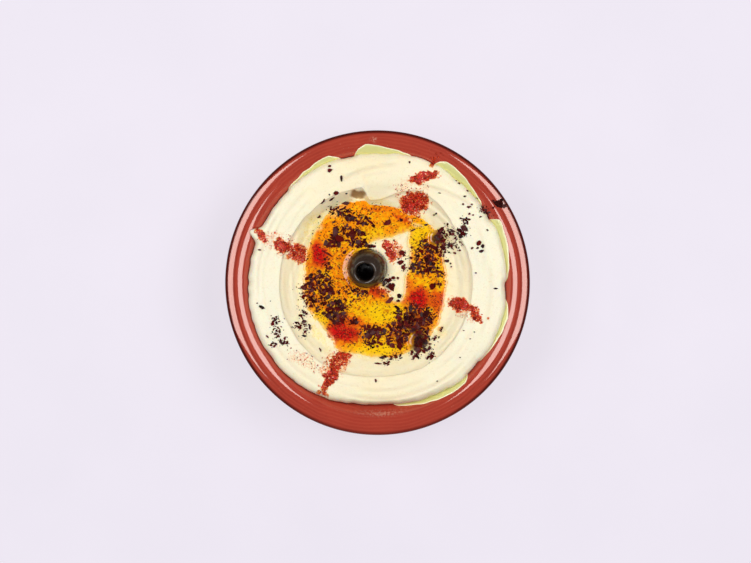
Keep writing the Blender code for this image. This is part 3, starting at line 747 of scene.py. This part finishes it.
# Single flakes: x, y, length, width, and the lean of those that have one
LONE_FLAKES = (
    (63.4, 41.2, 4.4, 3.4, -12), (66.4, 40, 2.2, 1.8, 40), (60.6, 42.9, 1.7, 1.2),
    (60.6, 39.4, 1.5, 1.1, 30), (65, 43.2, 1.8, 1.4), (53, 20.8, 2.7, 2.4), (54.9, 19.3, 2.3, 1.7, 60),
    (54.4, 16.4, 2.6, 1.3, 10), (52.3, 18.2, 1.5, 1.1), (12.8, 15.8, 3.2, 2.6), (12.4, 10.8, 2.7, 2.2, 30),
    (13.6, 7.9, 2.7, 2, -20), (6.5, -9.2, 4.4, 2.1, 35), (11.6, -7, 2.3, 1.9), (-17.5, 42, 4.6, 1.7, -5),
    (-28.3, 42.6, 3.4, 1.2, 50), (-23.8, 44, 3, 1.2, 40), (-21.6, 46.8, 2.4, 2), (-16.4, 46.7, 1.1, 0.8),
    (-25.2, 46.1, 0.9, 0.8), (-30.8, 34.8, 2.2, 1.8), (-23.2, 31.9, 2, 1, 20), (-17.5, 16, 2, 1.6),
    (-26.6, 15.4, 6, 1, -28), (-30.5, 6, 2.4, 1.8, -30), (-35, 4.2, 1.9, 1.7), (-35.1, 1.5, 1.4, 1.2),
    (-28.5, -16.2, 2.6, 1.4), (-32, -15.1, 1.6, 1.2), (5.5, 31.9, 4, 2.3, 38), (12.4, 33, 1.8, 1.4),
    (-4, 32.2, 5, 1.3, -38), (-6.6, 31.2, 2.5, 1.7), (18.5, 27.6, 3, 0.8, 25), (25.6, 30.5, 2, 1),
    (18, 18.5, 1.3, 1.3), (17.6, 13, 1.7, 1.4), (17.3, 7.5, 1.7, 1.6), (11.2, 12.6, 1, 0.9),
    (8.2, 2.6, 2, 1.7), (10.6, 2.4, 1.4, 1.2), (10.9, -9.6, 1.7, 1.3), (2.7, -7, 1.8, 1),
    (36.5, 11.5, 2.5, 1.7), (38.4, 10.1, 1, 0.9), (38.8, 8.5, 1, 0.9), (40.6, 15.6, 1.5, 1.1),
    (37.6, 16, 1.2, 0.9), (43.2, 17, 1.2, 1), (49.5, 18, 1.4, 1, 30), (36.7, 30.6, 1.7, 0.9, 70),
    (48, 36, 1.3, 1.1), (47.7, 39.6, 2, 1.3), (44.7, 41, 1.3, 1), (49.3, 41, 1, 0.9), (47, 48.1, 1.5, 1.2),
    (45.6, 45.1, 1.2, 1), (32.4, 46.9, 1.3, 0.7), (30.8, 36.2, 1.3, 0.9, 30), (29.7, 35.5, 1.2, 0.8),
    (57.4, 27.5, 1.1, 0.9), (43.4, 33.6, 1.2, 0.9), (52.5, 44.4, 1, 0.8), (42.6, 52, 1.3, 1),
    (41.3, 53.4, 1, 0.7), (16.7, 63.1, 1, 1), (53.8, 34.4, 1.6, 0.7, 20), (49.9, 35.4, 1, 0.8),
    (-25, 58.8, 2.4, 1.9), (-25.2, 60.9, 1.5, 1.2), (-18.9, 54.6, 3.6, 1.5, 85), (-30, -35.5, 2.2, 1, -60),
    (0, -42.5, 3.8, 1, -15), (-1, -51.2, 1, 2), (61.8, -3, 2, 0.9), (51.4, 5.2, 1, 0.8),
    (-61.8, 17.2, 1.6, 0.7, -10), (-60.6, -12.8, 2.8, 1.6, -35), (-63, -10.7, 1, 0.6),
    (-57.6, -28.2, 1.6, 0.8, -50), (-56, -9.6, 0.7, 0.5), (31.2, -51.5, 0.9, 0.6), (48.5, -29.4, 0.9, 0.5),
    (43.2, -39.1, 1, 0.6), (45, -25, 0.9, 0.5), (50.6, -25.8, 0.9, 0.6),
)  # fmt: skip


def ellipse_spots(cx, cy, a, b, lean, count):
    """Random places spread evenly over an ellipse."""
    reach, way = np.sqrt(rng.random(count)), rng.random(count) * 2 * math.pi
    u, v = a * reach * np.cos(way), b * reach * np.sin(way)
    c, s = math.cos(math.radians(lean)), math.sin(math.radians(lean))
    return np.stack([cx + u * c - v * s, cy + u * s + v * c], 1)


def flake_mesh(length, width, thickness):
    """Points of one curled chip about its middle: the corners of both faces, and the faces' middles."""
    corners = FLAKE_CORNERS
    way = (np.arange(corners) + rng.uniform(-0.4, 0.4, corners)) * 2 * math.pi / corners
    reach = rng.uniform(0.7, 1.15, corners) * 0.5
    rim = np.stack([length * reach * np.cos(way), width * reach * np.sin(way)], 1)
    curl = rng.uniform(0.05, 0.35) * (rim[:, 0] ** 2) / length + rng.uniform(-0.06, 0.06, corners) * width
    top = np.concatenate([rim, curl[:, None] + thickness / 2], 1)
    under = np.concatenate([rim * 0.86, curl[:, None] - thickness / 2], 1)
    return np.concatenate([top, under, [(0, 0, thickness * 0.5), (0, 0, -thickness * 0.5)]])


def flake_faces():
    count = FLAKE_CORNERS
    pairs = [(i, (i + 1) % count) for i in range(count)]
    faces = [(2 * count, i, j) for i, j in pairs] + [(2 * count + 1, count + j, count + i) for i, j in pairs]
    return faces + [(i, count + i, count + j, j) for i, j in pairs]


def wanted_flakes():
    """(x, y, length, width, lean, tilt) of every flake, the larger ones first."""
    large, small = [], []
    for x, y, length, width, *lean in LONE_FLAKES:
        lean = sum(lean) + rng.uniform(-5, 5)
        large.append((x, y, length * LONE_GROWTH, width * LONE_GROWTH, lean, 0.12))
    for cx, cy, a, b, lean, count, size in DRIFTS:
        reach = (a * DRIFT_SPREAD, b * DRIFT_SPREAD)
        for x, y in ellipse_spots(cx, cy, *reach, lean, int(count * DRIFT_FLAKES)):
            length = DRIFT_LENGTH * size * math.exp(rng.normal(0, 0.33))
            large.append((x, y, length, length * rng.uniform(0.36, 0.8), rng.uniform(0, 180), 0.22))
            x, y = (x, y) + rng.normal(0, 0.15 * (a + b) + 0.5, 2)
            small.append((x, y, rng.uniform(0.4, 1.0), rng.uniform(0.3, 0.6), rng.uniform(0, 180), 0.2))
    for x, y in rng.uniform(-46, 46, (SPECK_COUNT, 2)):
        if float(np.minimum(*shore(np.array(x), np.array(y)))) > 0.8:
            size = rng.uniform(0.3, 0.95)
            small.append((x, y, size, size * rng.uniform(0.5, 0.9), rng.uniform(0, 180), 0.2))
    return large + small


def shining(x, y):
    """Whether a place is on the side of a drop that reflects the left softbox."""
    return any(math.hypot(x - cx, y - cy) < size and x < cx - 0.3 * size for cx, cy, size, _ in DROPS)


def keep_apart(chips):
    """Leave out chips that would lie on an earlier one, on the olive or on the shining side of a drop."""
    kept, spots, sizes = [], np.zeros((len(chips) + 1, 2)), np.zeros(len(chips) + 1)
    spots[0], sizes[0] = OLIVE_CENTRE.xy, (OLIVE_RADIUS + 0.3) / CHIP_SPACING
    for chip in chips:
        x, y, length = chip[:3]
        taken = len(kept) + 1
        away = np.hypot(spots[:taken, 0] - x, spots[:taken, 1] - y)
        if not shining(x, y) and (away > CHIP_SPACING * (sizes[:taken] + length)).all():
            kept.append(chip)
            spots[taken], sizes[taken] = (x, y), length
    return kept


def scatter(name, shapes, faces, look, sharp=None):
    """One piece from many small shapes with the same faces, given as pairs of their points and shade."""
    count = len(shapes[0][0])
    points = np.concatenate([shape for shape, _ in shapes])
    shades = np.repeat([shade for _, shade in shapes], count)
    starts = range(0, len(points), count)
    all_faces = [tuple(start + corner for corner in face) for start in starts for face in faces]
    mesh_piece(name, points, all_faces, look, {"shade": shades}, sharp=sharp)


def make_flakes():
    chips = keep_apart(wanted_flakes())
    spots = np.array([chip[:2] for chip in chips])
    shapes = []
    for (x, y, length, width, lean, tilt), height in zip(chips, rest_height(*spots.T)):
        thickness = 0.16 + 0.1 * width
        turn_by = Matrix.Rotation(math.radians(lean), 3, "Z") @ Matrix.Rotation(rng.normal(0, tilt), 3, "X")
        turn_by = turn_by @ Matrix.Rotation(rng.normal(0, tilt), 3, "Y")
        chip = flake_mesh(length, width, thickness) @ np.array(turn_by).T
        chip = chip + (x, y, float(height) + thickness * 0.4 + rng.uniform(0, 0.15))
        shapes.append((chip, rng.random()))
    scatter("spice_flakes", shapes, flake_faces(), flake_look(), sharp=50)


GRAIN = np.array([(1, 0, 0), (0, 1, 0), (-1, 0, 0), (0, -1, 0), (0, 0, 1), (0, 0, -1)], float)
GRAIN_FACES = [(0, 1, 4), (1, 2, 4), (2, 3, 4), (3, 0, 4), (1, 0, 5), (2, 1, 5), (3, 2, 5), (0, 3, 5)]


def paprika_spots():
    """Places for grains, close together where the paprika lies thickly."""
    spots = rng.uniform((-66, -64), (62, 72), (GRAIN_COUNT, 2))
    cover = soak_marks(spots[:, 0], spots[:, 1])
    clumps = smooth(-0.4, 0.2, noise(spots[:, 0], spots[:, 1], 1.3, 44))
    return spots[rng.random(len(spots)) < 1.35 * cover**1.2 * clumps]


def make_paprika():
    spots = paprika_spots()
    shapes = []
    for (x, y), height in zip(spots, rest_height(*spots.T)):
        size = rng.uniform(0.14, 0.38) * rng.choice((1, 1, 1.4))
        grain = GRAIN * rng.uniform(0.6, 1.25, (6, 1)) * size
        turn_by = Matrix.Rotation(rng.uniform(0, 6.28), 3, Vector(rng.normal(0, 1, 3)).normalized())
        grain = grain @ np.array(turn_by).T
        grain = grain + (x, y, float(height) + size * rng.uniform(0, 0.9))
        shapes.append((grain, rng.random()))
    scatter("paprika_grains", shapes, GRAIN_FACES, paprika_look())


# ---- looks


class Look:
    """A Principled material, with short calls for the nodes that feed it."""

    def __init__(self, name, values):
        self.material = bpy.data.materials.new(name)
        self.material.use_nodes = True
        self.tree = self.material.node_tree
        self.shader = self.tree.nodes["Principled BSDF"]
        for socket, value in values.items():
            self.shader.inputs[socket].default_value = value
        self.place = self.tree.nodes.new("ShaderNodeTexCoord").outputs["Object"]

    def node(self, kind, inputs, **settings):
        made = self.tree.nodes.new(kind)
        for name, value in settings.items():
            setattr(made, name, value)
        for socket, value in inputs.items():
            if isinstance(value, bpy.types.NodeSocket):
                self.tree.links.new(value, made.inputs[socket])
            else:
                made.inputs[socket].default_value = value
        return made

    def feed(self, socket, source):
        self.tree.links.new(source, self.shader.inputs[socket])

    def mark(self, name, output="Fac"):
        return self.node("ShaderNodeAttribute", {}, attribute_name=name).outputs[output]

    def noise(self, size, detail, roughness=0.5):
        """Noise with features about size millimetres wide."""
        inputs = {"Vector": self.place, "Scale": 1 / (size * MM), "Detail": detail, "Roughness": roughness}
        return self.node("ShaderNodeTexNoise", inputs).outputs["Fac"]

    def spots(self, size):
        """Distance from scattered points about size millimetres apart."""
        inputs = {"Vector": self.place, "Scale": 1 / (size * MM)}
        return self.node("ShaderNodeTexVoronoi", inputs).outputs["Distance"]

    def rings(self, spacing):
        """Uneven rings about the Z axis, spacing millimetres apart."""
        inputs = {"Vector": self.place, "Scale": math.pi / 10 / (spacing * MM), "Distortion": 5.0}
        inputs |= {"Detail": 3.0, "Detail Scale": 0.4}
        made = self.node("ShaderNodeTexWave", inputs, wave_type="RINGS", rings_direction="Z")
        return made.outputs["Fac"]

    def step(self, source, low, high, start=0.0, end=1.0):
        inputs = {"Value": source, "From Min": low, "From Max": high, "To Min": start, "To Max": end}
        return self.node("ShaderNodeMapRange", inputs, interpolation_type="SMOOTHSTEP").outputs["Result"]

    def combine(self, kind, a, b):
        return self.node("ShaderNodeMath", {0: a, 1: b}, operation=kind).outputs[0]

    def times(self, a, b):
        return self.combine("MULTIPLY", a, b)

    def mix(self, share, a, b):
        """Colour a where share is 0 and b where it is 1. A colour is a source or levels of 0 to 255."""
        a, b = ((*linear(*colour), 1) if isinstance(colour, tuple) else colour for colour in (a, b))
        return self.node("ShaderNodeMix", {0: share, 6: a, 7: b}, data_type="RGBA").outputs[2]

    def over(self, share, colour):
        """Lay a colour over the one so far, where share is 1."""
        self.base = self.mix(share, self.base, colour)

    def painted(self):
        """The material, in the colour so far."""
        self.feed("Base Color", self.base)
        return self.material

    def bump(self, height, strength, distance):
        """distance is the relief's height in millimetres."""
        inputs = {"Height": height, "Strength": strength, "Distance": distance * MM}
        made = self.node("ShaderNodeBump", inputs)
        self.feed("Normal", made.outputs["Normal"])


def glaze_look():
    values = {"Roughness": 0.07, "IOR": 1.85, "Specular Tint": (1.0, 0.86, 0.78, 1), "Coat Weight": 0.1}
    look = Look("glaze", values)
    look.base = look.mix(look.noise(14, 4), (164, 54, 40), (184, 66, 46))
    rings = look.rings(1.7)
    look.over(look.step(rings, 0.35, 1.0, 0, 0.2), (202, 88, 64))
    look.over(look.step(look.noise(0.9, 2), 0.56, 0.8, 0, 0.25), (140, 38, 28))
    look.over(look.step(look.spots(3.4), 0.09, 0.04, 0, 0.3), (222, 140, 120))
    streaks = look.step(look.noise(1.1, 2), 0.4, 0.65)
    # the top smear, and a painted highlight on the lip at the bottom, both in streaks
    smear_and_painted_highlight = look.times(look.mark("smear_and_painted_highlight"), streaks)
    look.over(look.times(smear_and_painted_highlight, 0.55), (235, 190, 160))
    # painted dark shade on the rim's rounding and a painted dark reflection line beside the crest
    look.over(look.mark("rim"), (52, 8, 8))
    # painted contact shadow round the hummus
    look.over(look.mark("painted_contact_shadow"), (60, 16, 8))
    look.feed("Specular IOR Level", look.step(look.mark("rim"), 0, 0.9, 0.5, 0.04))
    look.bump(look.combine("ADD", look.noise(3.5, 2), look.times(rings, 0.35)), 0.12, 0.03)
    return look.painted()


def hummus_look():
    values = {"Roughness": 0.5, "IOR": 1.4, "Subsurface Weight": 0.3, "Subsurface Scale": 1.0 * MM}
    look = Look("hummus", values | {"Subsurface Radius": (1.0, 0.6, 0.3)})
    look.base = look.mix(look.noise(9, 4), (248, 240, 211), (253, 246, 219))
    # painted warm shade on the inner slope and towards +Y and -Y
    look.over(look.times(look.mark("painted_warm_shade"), 0.9), (254, 234, 190))
    look.over(look.step(look.noise(0.55, 2), 0.56, 0.78, 0, 0.55), (230, 206, 158))
    look.over(look.step(look.noise(1.6, 3), 0.58, 0.75, 0, 0.35), (234, 210, 160))
    # painted shade in the crest line, the spoon's grooves and the hollow beside the tongue
    look.over(look.mark("shade"), (158, 120, 76))
    film = look.times(look.mark("film"), look.step(look.noise(1.3, 3), 0.3, 0.62, 0.35, 1.15))
    look.over(film, (255, 232, 156))
    specks = look.step(look.noise(0.5, 2, 0.7), 0.57, 0.68, 0, 0.8)
    look.over(look.times(look.mark("film"), specks), (214, 138, 40))
    stain = look.times(look.mark("soak"), look.step(look.noise(1.0, 3), 0.35, 0.6, 0, 1.6))
    look.over(look.step(stain, 0.03, 0.4), (238, 146, 70))
    lumps = look.times(look.mark("soak"), look.step(look.noise(0.8, 3, 0.6), 0.3, 0.7, 0.2, 1.8))
    red = look.mix(look.step(look.noise(0.7, 3, 0.7), 0.4, 0.6), (144, 8, 12), (228, 48, 26))
    look.over(look.step(lumps, 0.25, 0.6), red)
    look.feed("Roughness", look.step(look.mark("film"), 0, 0.8, 0.5, 0.18))
    look.bump(look.noise(0.7, 4, 0.6), 0.4, 0.12)
    return look.painted()


def oil_look():
    values = {"Roughness": 0.5, "Specular IOR Level": 0.0, "Coat Weight": 1.0}
    look = Look("spiced_oil", values | {"Coat Roughness": 0.03, "Coat IOR": 1.54})
    tint = look.mark("tint", "Color")
    grain = look.step(look.noise(0.5, 3, 0.7), 0.52, 0.7, 0, 0.3)
    look.base = look.mix(grain, tint, (190, 66, 8))
    look.over(look.step(look.spots(1.0), 0.2, 0.1, 0, 0.6), (96, 20, 8))
    return look.painted()


def edge_oil_look():
    values = {"Roughness": 0.25, "Coat Weight": 0.8, "Coat Roughness": 0.05, "Coat IOR": 1.47}
    look = Look("plain_oil", values)
    look.base = look.mix(look.noise(5, 3), (212, 208, 128), (224, 222, 150))
    # paler at the outer edge where the oil thins, and partly a painted meniscus highlight
    look.over(look.mark("rim"), (246, 240, 200))
    return look.painted()


def olive_look():
    values = {"Roughness": 0.4, "Specular IOR Level": 0.25, "Coat Weight": 0.85, "Coat Roughness": 0.02}
    look = Look("olive", values)
    look.base = look.mix(look.noise(5, 4), (36, 24, 16), (62, 46, 34))
    look.over(look.step(look.noise(0.8, 3), 0.55, 0.75, 0, 0.6), (28, 20, 18))
    # painted shade inside the pit's hole
    look.over(look.mark("painted_pit_shade"), (10, 3, 3))
    look.bump(look.noise(1.1, 3), 0.2, 0.12)
    return look.painted()


def flake_look():
    values = {"Roughness": 0.5, "Specular IOR Level": 0.05, "Coat Weight": 0.14, "Coat Roughness": 0.2}
    look = Look("dark_flake", values)
    look.base = look.mix(look.mark("shade"), (16, 2, 3), (92, 12, 8))
    look.over(look.step(look.noise(0.45, 2), 0.5, 0.72, 0, 0.5), (128, 36, 22))
    look.bump(look.noise(0.35, 2), 0.5, 0.06)
    return look.painted()


def paprika_look():
    look = Look("paprika", {"Roughness": 0.7, "Specular IOR Level": 0.15})
    look.base = look.mix(look.mark("shade"), (120, 0, 8), (255, 88, 34))
    look.over(look.step(look.noise(1.3, 2), 0.5, 0.62, 0, 0.75), (88, 2, 6))
    return look.painted()


def floor_look():
    """A pale light table: its own glow keeps the shadows on it weak."""
    look = Look("light_table", {"Roughness": 0.8, "Specular IOR Level": 0.1, "Emission Strength": 0.7})
    look.feed("Emission Color", look.mix(look.noise(60, 5), (243, 240, 249), (248, 245, 254)))
    look.base = look.mix(look.noise(120, 5), (126, 118, 128), (134, 124, 134))
    return look.painted()


# ---- floor, lights, camera


def make_floor():
    half, height = 3000, -0.05
    corners = [(x, y, height) for x, y in ((-half, -half), (half, -half), (half, half), (-half, half))]
    mesh = bpy.data.meshes.new("floor")
    mesh.from_pydata([Vector(c) * MM for c in corners], [], [(0, 1, 2, 3)])
    mesh.materials.append(floor_look())
    floor = add_object("floor", mesh)


def make_softbox(name, side, power):
    """A softbox to one side, a little beyond the dish. It leans 30 degrees off the vertical. In metres."""
    distance, beyond, lean = 1.15, 0.14, math.radians(30)
    light = bpy.data.lights.new(name, "AREA")
    light.shape = "RECTANGLE"
    light.size, light.size_y = 0.6, 0.85
    light.energy = power
    obj = add_object(name, light)
    obj.location = (side * distance * math.sin(lean), beyond, distance * math.cos(lean))
    obj.rotation_euler = (0, side * lean, 0)
    obj.visible_camera = False


def make_lights():
    make_softbox("softbox_left", -1, 8.0)
    make_softbox("softbox_right", 1, 8.0)
    world = bpy.data.worlds.new("studio")
    world.use_nodes = True
    background = world.node_tree.nodes["Background"]
    background.inputs["Color"].default_value = (0.9, 0.9, 1.0, 1)
    background.inputs["Strength"].default_value = 0.09
    bpy.context.scene.world = world


def make_camera():
    """Straight above, with the dish's middle a little right of and below the picture's."""
    width_at_rim = 393.2
    lens, sensor = 85.0, 36.0
    left, beyond = 1.08, 0.62
    camera = bpy.data.cameras.new("camera")
    camera.lens, camera.sensor_width = lens, sensor
    obj = add_object("camera", camera)
    height = RIM_HEIGHT + width_at_rim * lens / sensor
    obj.location = Vector((-left, beyond, height)) * MM
    bpy.context.scene.camera = obj


EDGE_OIL_LOOK = edge_oil_look()
make_floor()
make_dish()
make_hummus()
make_oil()
for name, (start, end, peak, reach) in EDGE_OIL.items():
    make_edge_oil(name, start, end, peak, reach)
make_olive()
make_flakes()
make_paprika()
make_lights()
make_camera()
bpy.context.scene.view_settings.view_transform = "Standard"
